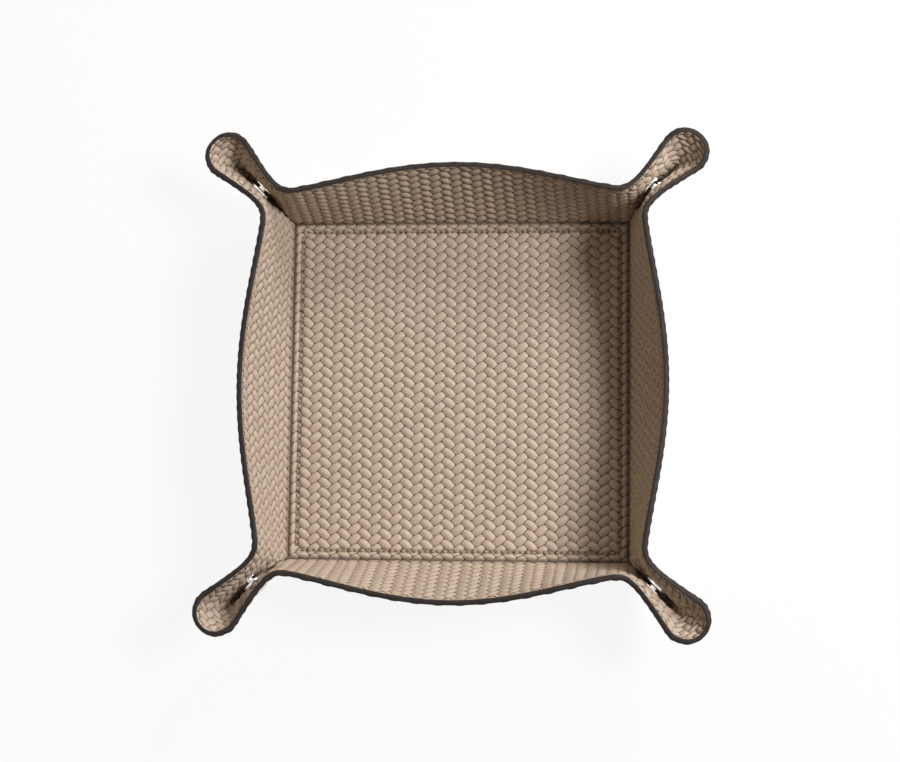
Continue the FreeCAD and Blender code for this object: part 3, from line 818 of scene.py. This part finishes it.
class Nodes:
    """Short calls for building one material's nodes."""

    def __init__(self, name):
        self.material = bpy.data.materials.new(name)
        self.material.use_nodes = True
        self.tree = self.material.node_tree
        self.shader = self.tree.nodes["Principled BSDF"]

    def new(self, kind):
        """A new node."""
        return self.tree.nodes.new(kind)

    def plug(self, value, socket):
        """Links a socket, or sets it to a plain value."""
        if isinstance(value, bpy.types.NodeSocket):
            self.tree.links.new(value, socket)
        else:
            socket.default_value = value

    def math(self, operation, first, second=0.0, third=0.0):
        """One step of arithmetic."""
        node = self.new("ShaderNodeMath")
        node.operation = operation
        for value, socket in zip((first, second, third), node.inputs):
            self.plug(value, socket)
        return node.outputs[0]

    def ramp(self, value, low, high):
        """A smooth step from 0 at low to 1 at high."""
        node = self.new("ShaderNodeMapRange")
        node.interpolation_type = "SMOOTHSTEP"
        node.inputs["From Min"].default_value = low
        node.inputs["From Max"].default_value = high
        self.plug(value, node.inputs["Value"])
        return node.outputs["Result"]

    def blend(self, share, first, second):
        """A mix of two colours, the first at share 0."""
        node = self.new("ShaderNodeMix")
        node.data_type = "RGBA"
        node.blend_type = "MIX"
        self.plug(share, node.inputs[MIX_SHARE])
        self.plug(first, node.inputs[MIX_FIRST])
        self.plug(second, node.inputs[MIX_SECOND])
        return node.outputs[MIX_RESULT]

    def set(self, **values):
        """Sets or links the shader's sockets, named with _ for a space."""
        for name, value in values.items():
            self.plug(value, self.shader.inputs[name.replace("_", " ")])

    def mottled(self, scale, low, high, colours, detail=4.0):
        """Two colours mixed by noise."""
        share = self.ramp(self.noise(scale, detail), low, high)
        return self.blend(share, srgb(colours[0]), srgb(colours[1]))

    def uneven(self, scale, least, spread):
        """A value that noise varies from its least up."""
        return self.math("MULTIPLY_ADD", self.noise(scale), spread, least)

    def noise(self, scale, detail=4.0):
        """Noise fixed to the piece."""
        node = self.new("ShaderNodeTexNoise")
        where = self.new("ShaderNodeTexCoord")
        self.tree.links.new(where.outputs["Object"], node.inputs["Vector"])
        node.inputs["Scale"].default_value = scale
        node.inputs["Detail"].default_value = detail
        return node.outputs["Fac"]

    def attribute(self, name):
        """A named value of the mesh's points."""
        node = self.new("ShaderNodeAttribute")
        node.attribute_name = name
        return node.outputs["Fac"]

    def bump(self, height, distance, strength):
        """Fine relief of the surface, with its depth in metres."""
        node = self.new("ShaderNodeBump")
        node.inputs["Strength"].default_value = strength
        node.inputs["Distance"].default_value = distance
        self.tree.links.new(height, node.inputs["Height"])
        self.tree.links.new(node.outputs["Normal"], self.shader.inputs["Normal"])


def pillow_nodes(nodes, x, y, lean):
    """One pillow's height, as pillow() works it out."""
    along_x = nodes.math("MULTIPLY", x, math.cos(lean))
    along = nodes.math("MULTIPLY_ADD", y, math.sin(lean), along_x)
    beside_y = nodes.math("MULTIPLY", y, math.cos(lean))
    beside = nodes.math("MULTIPLY_ADD", x, -math.sin(lean), beside_y)
    falls = []
    for place, half, power in ((along, PILLOW_LONG, LONG_POWER), (beside, PILLOW_SHORT, SHORT_POWER)):
        share = nodes.math("ABSOLUTE", nodes.math("DIVIDE", place, half))
        falls.append(nodes.math("POWER", share, power))
    return nodes.math("SUBTRACT", nodes.math("SUBTRACT", 1.0, falls[0]), falls[1])


def plait_place_nodes(nodes):
    """The pillow's column and row at a flat place, if the column is odd, and the place about its middle."""
    flat = nodes.new("ShaderNodeUVMap")
    flat.uv_map = "flat"
    split = nodes.new("ShaderNodeSeparateXYZ")
    nodes.tree.links.new(flat.outputs["UV"], split.inputs[0])
    from_x = nodes.math("SUBTRACT", split.outputs[0], PILLOW_MIDDLE[0])
    from_y = nodes.math("SUBTRACT", split.outputs[1], PILLOW_MIDDLE[1])
    flat_x = nodes.math("DIVIDE", from_x, COLUMN_PITCH)
    flat_y = nodes.math("DIVIDE", from_y, ROW_PITCH)
    column = nodes.math("FLOOR", nodes.math("ADD", flat_x, 0.5))
    odd = nodes.math("FLOORED_MODULO", column, 2.0)
    x = nodes.math("SUBTRACT", flat_x, column)
    lifted = nodes.math("MULTIPLY_ADD", odd, -0.5, flat_y)
    row = nodes.math("FLOOR", nodes.math("ADD", lifted, 0.5))
    return column, row, odd, x, nodes.math("SUBTRACT", lifted, row)


def plait_nodes(nodes):
    """The plait at a flat place: how far inside its pillow, its height, and the pillow's chance value."""
    column, row, odd, across, y = plait_place_nodes(nodes)
    side = nodes.math("MULTIPLY_ADD", odd, -2.0, 1.0)
    x = nodes.math("MULTIPLY", across, side)
    to_x = nodes.math("MULTIPLY_ADD", nodes.math("GREATER_THAN", x, 0.0), 2.0, -1.0)
    to_y = nodes.math("MULTIPLY_ADD", nodes.math("GREATER_THAN", y, 0.0), 2.0, -1.0)
    next_x = nodes.math("SUBTRACT", x, to_x)
    next_y = nodes.math("SUBTRACT", y, to_y)
    others = [
        pillow_nodes(nodes, x, next_y, -PILLOW_LEAN),
        pillow_nodes(nodes, next_x, nodes.math("SUBTRACT", y, 0.5), PILLOW_LEAN),
        pillow_nodes(nodes, next_x, nodes.math("ADD", y, 0.5), PILLOW_LEAN),
    ]
    number = nodes.math("MULTIPLY_ADD", column, COLUMN_NUMBERS, row)
    steps_x = nodes.math("MULTIPLY", nodes.math("MULTIPLY", to_x, side), COLUMN_NUMBERS)
    next_number = nodes.math("ADD", number, steps_x)
    numbers = [
        nodes.math("ADD", number, to_y),
        nodes.math("ADD", next_number, odd),
        nodes.math("ADD", next_number, nodes.math("ADD", odd, -1.0)),
    ]
    highest = pillow_nodes(nodes, x, y, -PILLOW_LEAN)
    second = LOWEST
    chosen = number
    for height, other_number in zip(others, numbers):
        better = nodes.math("GREATER_THAN", height, highest)
        second = nodes.math("MAXIMUM", second, nodes.math("MINIMUM", height, highest))
        change = nodes.math("SUBTRACT", other_number, chosen)
        chosen = nodes.math("MULTIPLY_ADD", better, change, chosen)
        highest = nodes.math("MAXIMUM", height, highest)
    inside = nodes.math("SUBTRACT", highest, second)
    chance = nodes.new("ShaderNodeTexWhiteNoise")
    chance.noise_dimensions = "1D"
    nodes.plug(chosen, chance.inputs["W"])
    return inside, highest, chance.outputs["Value"]


def rim_stitch_nodes(nodes):
    """The row of stitches near the leather's edge: how far in the row, and how far in a needle hole."""
    off_row = nodes.math("ABSOLUTE", nodes.math("SUBTRACT", nodes.attribute("from_rim"), RIM_STITCH))
    in_row = nodes.math("SUBTRACT", 1.0, nodes.ramp(off_row, 0.15, 0.4))
    phase = nodes.math("FRACT", nodes.math("DIVIDE", nodes.attribute("along_rim"), STITCH_PITCH))
    from_hole = nodes.math("ABSOLUTE", nodes.math("SUBTRACT", phase, 0.5))
    in_hole = nodes.math("SUBTRACT", 1.0, nodes.ramp(from_hole, 0.08, 0.2))
    return in_row, nodes.math("MULTIPLY", in_row, in_hole)


def plait_material():
    """The lining: tiles a little apart in colour, painted shade in the gaps between pillows and in their
    pits, the rim's row of stitches with painted shade in its needle holes, and painted shade in the folds
    from the shade mark.
    """
    nodes = Nodes("plaited_leather")
    inside, height, chance = plait_nodes(nodes)
    in_row, in_hole = rim_stitch_nodes(nodes)
    tile = nodes.blend(chance, srgb(TILE_COLOURS[0]), srgb(TILE_COLOURS[1]))
    worn = nodes.blend(nodes.ramp(nodes.noise(220.0), 0.35, 0.75), tile, srgb(WORN_COLOUR))
    # Painted shade darkens the seams between pillows and the pits where they meet
    gap = nodes.blend(nodes.ramp(inside, 0.0, 0.42), srgb(GAP_SHADE_COLOUR), worn)
    pit_shaded = nodes.blend(nodes.ramp(height, -0.3, 0.4), srgb(PIT_SHADE_COLOUR), gap)
    sewn = nodes.blend(in_row, pit_shaded, srgb(RIM_THREAD_COLOUR))
    # Painted shade in the rim's needle holes
    hole_shaded = nodes.blend(in_hole, sewn, srgb(RIM_HOLE_SHADE_COLOUR))
    # Painted shade from the shade mark: the folds, the feet of the panels and the base's needle holes
    shaded = nodes.blend(nodes.attribute("shade"), srgb(FOLD_SHADE_COLOUR), hole_shaded)
    nodes.set(Base_Color=shaded, Roughness=nodes.uneven(900.0, 0.26, 0.2), Specular_IOR_Level=0.15)
    grain = nodes.math("MULTIPLY", nodes.noise(1400.0), 0.2)
    fine = nodes.math("ADD", nodes.ramp(inside, 0.0, 0.4), grain)
    fine = nodes.math("SUBTRACT", fine, in_hole)
    nodes.bump(fine, 0.0002, 0.8)
    return nodes.material


def outer_material():
    """The plain leather outside."""
    nodes = Nodes("plain_leather")
    nodes.set(
        Base_Color=nodes.mottled(90.0, 0.3, 0.72, OUTER_COLOURS),
        Roughness=nodes.uneven(700.0, 0.45, 0.2),
    )
    nodes.bump(nodes.noise(1300.0, 6.0), 0.00012, 0.6)
    return nodes.material


def edge_material():
    """The dark coat on the cut edge."""
    nodes = Nodes("edge_coat")
    nodes.set(
        Base_Color=nodes.mottled(300.0, 0.3, 0.72, EDGE_COLOURS),
        Roughness=nodes.uneven(500.0, 0.45, 0.2),
        Specular_IOR_Level=0.15,
    )
    nodes.bump(nodes.noise(800.0), 0.0002, 0.5)
    return nodes.material


def thread_material():
    """Waxed thread, with its strands."""
    nodes = Nodes("thread")
    nodes.set(Base_Color=nodes.mottled(2200.0, 0.35, 0.65, THREAD_COLOURS), Roughness=0.65)
    nodes.bump(nodes.noise(3000.0), 0.0001, 0.8)
    return nodes.material


def nickel_material():
    """The press studs' bright metal."""
    nodes = Nodes("bright_nickel")
    nodes.set(
        Metallic=1.0,
        Base_Color=nodes.mottled(600.0, 0.3, 0.7, NICKEL_COLOURS),
        Roughness=nodes.uneven(1500.0, 0.14, 0.14),
    )
    return nodes.material


def board_material():
    """The grey board inside the base."""
    nodes = Nodes("grey_board")
    nodes.set(Base_Color=nodes.mottled(900.0, 0.3, 0.7, BOARD_COLOURS, detail=8.0), Roughness=0.85)
    return nodes.material


# The tray
lining = plait_material()
outer = outer_material()
edge = edge_material()
thread = thread_material()
nickel = nickel_material()
board = board_material()
PLIES = {"lining": [lining], "outer": [outer, edge]}
SLOTS = {"lining": "lining_leather", "outer": "outer_leather"}


def dress_base():
    """The base's lining, outside leather and thread ride the base's own body."""
    pieces = [
        (base_lining(PLIES["lining"]), "base_lining", SLOTS["lining"]),
        (base_outer(PLIES["outer"]), "base_outer", SLOTS["outer"]),
        (add_stitching(thread), "base_stitching", "thread"),
    ]
    for piece, node, slot in pieces:
        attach(piece, "base")
        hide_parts(node)


def dress_walls(ply):
    """One ply of each wall."""
    fold = (0.0, BASE_HALF, LINING_TOP)
    past = (0.0, BASE_HALF + FOLD_BLEND_OUT, LINING_TOP + FOLD_BLEND)
    for index, wall in enumerate(WALLS):
        name = "%s_wall_%s" % (wall, ply)
        piece = panel(name + "_skin", "wall", index, False, ply, PLIES[ply])
        turned_place(fold, index, False)
        turned_place(past, index, False)
        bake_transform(piece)
        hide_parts(name)


def keel_edge_place(along):
    """A place on the lining's edge between keel and flank, from the base's corner."""
    rise = float(keel_rise(np.array(along)))
    gap = float(half_gap(np.array(math.hypot(along, rise))))
    over = rise - float(keel_sag(np.array(along)))
    return along * KEEL_WAY + over * KEEL_OVER + gap * SIDEWAYS


def keel_bend_way():
    """Unit direction from the diagonal to the keel's edge, square to that edge."""
    edge_way = keel_edge_place(KEEL_EDGE_TO * TIP_REACH) - keel_edge_place(KEEL_EDGE_FROM * TIP_REACH)
    edge_way = edge_way / np.linalg.norm(edge_way)
    chord = KEEL_OVER + SIDEWAYS
    chord = chord - (chord @ edge_way) * edge_way
    return chord / np.linalg.norm(chord)


def dress_half_ear(corner, wall_index, mirrored, ply):
    """One ply of a flank and of its half of the keel."""
    wall = WALLS[wall_index]
    neck_way = np.array([math.cos(NECK_TURN), math.sin(NECK_TURN), 0.0])
    neck = np.array([BASE_HALF - NECK_INSET, BASE_HALF + NECK_OUTSET, 0.5 * WALL_HEIGHT])
    bend_way = keel_bend_way()
    bend_start = CORNER_POINT + bend_way * BEND_START
    bend_end = bend_start - bend_way * BEND_BLEND
    ear_body = "%s_ear_by_%s" % (corner, wall)
    keel_body = "%s_keel_by_%s" % (corner, wall)
    bends = [
        ("ear", wall + "_wall", ear_body, neck - neck_way * NECK_BLEND_BACK, neck + neck_way * NECK_BLEND),
        ("keel", ear_body, keel_body, bend_start, bend_end),
    ]
    for kind, near_body, far_body, start, end in bends:
        node = "%s_%s" % (far_body, ply)
        piece = panel(node + "_skin", kind, wall_index, mirrored, ply, PLIES[ply])
        turned_place(start, wall_index, mirrored)
        turned_place(end, wall_index, mirrored)
        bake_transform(piece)
        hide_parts(node)


def dress_ears(ply):
    """One ply of both halves of each ear."""
    for index, corner in enumerate(CORNERS):
        for side in (0, 1):
            dress_half_ear(corner, (index + side) % len(WALLS), side == 1, ply)


def dress_hard_pieces():
    """The model's own press studs and board keep their shape and get their materials."""
    for name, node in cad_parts.items():
        if "_snap_" in name:
            material = nickel
        elif name == "base_board":
            material = board
        else:
            continue
        node.data.materials.clear()
        node.data.materials.append(material)


dress_base()
for ply_name in PLIES:
    dress_walls(ply_name)
    dress_ears(ply_name)
dress_hard_pieces()


# Floor, light and camera
FLOOR_HALF = 3.0
FLOOR_GLOW = 0.9
AMBIENT = 0.078
AMBIENT_COLOUR = (1.0, 0.86, 0.74, 1.0)
DAYLIGHT = (1.0, 0.99, 0.975)
WARM_LIGHT = (1.0, 0.85, 0.72)

# Lamps, aimed at the middle of the tray: name, place and size in metres, power in watts, colour
LAMPS = [
    ("key", (0.759, 0.175, 0.912), 0.34, 11.7, DAYLIGHT),
    ("back", (0.51, 0.88, 0.63), 0.42, 6.2, DAYLIGHT),
    ("left", (-0.65, 0.3, 0.95), 0.9, 1.5, WARM_LIGHT),
]

# The camera stands above the tray, a little to the front and right
CAMERA_PLACE = (65.0, -77.8, 748.7)
CAMERA_TURN = (6.31, 5.2, 0.73)
CAMERA_LENS = 68.1
SENSOR_WIDTH = 36.0


def seen_rays(tree):
    """1 for rays from the camera and in reflections or glass, 0 for light that falls on the tray."""
    path = tree.nodes.new("ShaderNodeLightPath")
    seen = path.outputs["Is Camera Ray"]
    for ray in ("Is Glossy Ray", "Is Transmission Ray"):
        both = tree.nodes.new("ShaderNodeMath")
        both.operation = "MAXIMUM"
        tree.links.new(seen, both.inputs[0])
        tree.links.new(path.outputs[ray], both.inputs[1])
        seen = both.outputs[0]
    return seen


def floor_material():
    """White to the camera and to reflections, with the tray's shadow kept faintly on it."""
    nodes = Nodes("white_floor")
    nodes.set(Base_Color=srgb(FLOOR_COLOUR), Roughness=0.9)
    glow = nodes.new("ShaderNodeEmission")
    glow.inputs["Strength"].default_value = 1.0
    glow.inputs["Color"].default_value = WHITE
    mix = nodes.new("ShaderNodeMixShader")
    nodes.plug(nodes.math("MULTIPLY", seen_rays(nodes.tree), FLOOR_GLOW), mix.inputs[0])
    nodes.tree.links.new(nodes.shader.outputs[0], mix.inputs[1])
    nodes.tree.links.new(glow.outputs[0], mix.inputs[2])
    nodes.tree.links.new(mix.outputs[0], nodes.tree.nodes["Material Output"].inputs["Surface"])
    return nodes.material


def add_floor():
    """A plain floor under the tray, outside the model."""
    half = FLOOR_HALF
    mesh = bpy.data.meshes.new("floor")
    corners = [(-half, -half, 0.0), (half, -half, 0.0), (half, half, 0.0), (-half, half, 0.0)]
    mesh.from_pydata(corners, [], [(0, 1, 2, 3)])
    mesh.materials.append(floor_material())
    floor = bpy.data.objects.new("floor", mesh)
    bpy.context.scene.collection.objects.link(floor)


def add_lamp(name, place, size, power, colour):
    """A square lamp aimed at the middle of the tray."""
    data = bpy.data.lights.new(name, "AREA")
    data.size = size
    data.energy = power
    data.color = colour
    lamp = bpy.data.objects.new(name, data)
    lamp.location = place
    lamp.rotation_euler = (-Vector(place)).to_track_quat("-Z", "Y").to_euler()
    bpy.context.scene.collection.objects.link(lamp)


def add_world():
    """A white surround to the camera and reflections, and a weak warm one as light."""
    world = bpy.data.worlds.new("studio")
    world.use_nodes = True
    tree = world.node_tree
    sky = tree.nodes["Background"]
    seen = seen_rays(tree)
    strength = tree.nodes.new("ShaderNodeMapRange")
    strength.inputs["To Min"].default_value = AMBIENT
    tree.links.new(seen, strength.inputs["Value"])
    tree.links.new(strength.outputs["Result"], sky.inputs["Strength"])
    colour = tree.nodes.new("ShaderNodeMix")
    colour.data_type = "RGBA"
    tree.links.new(seen, colour.inputs[MIX_SHARE])
    colour.inputs[MIX_FIRST].default_value = AMBIENT_COLOUR
    colour.inputs[MIX_SECOND].default_value = WHITE
    tree.links.new(colour.outputs[MIX_RESULT], sky.inputs["Color"])
    bpy.context.scene.world = world


def add_camera():
    """The photograph's view."""
    data = bpy.data.cameras.new("camera")
    data.sensor_fit = "HORIZONTAL"
    data.sensor_width = SENSOR_WIDTH
    data.lens = CAMERA_LENS
    camera = bpy.data.objects.new("camera", data)
    camera.location = [value * MM for value in CAMERA_PLACE]
    camera.rotation_euler = Euler([math.radians(value) for value in CAMERA_TURN], "XYZ")
    bpy.context.scene.collection.objects.link(camera)
    bpy.context.scene.camera = camera


add_floor()
for lamp_name, lamp_place, lamp_size, lamp_power, lamp_colour in LAMPS:
    add_lamp(lamp_name, lamp_place, lamp_size, lamp_power, lamp_colour)
add_world()
add_camera()
bpy.context.scene.view_settings.view_transform = "Standard"
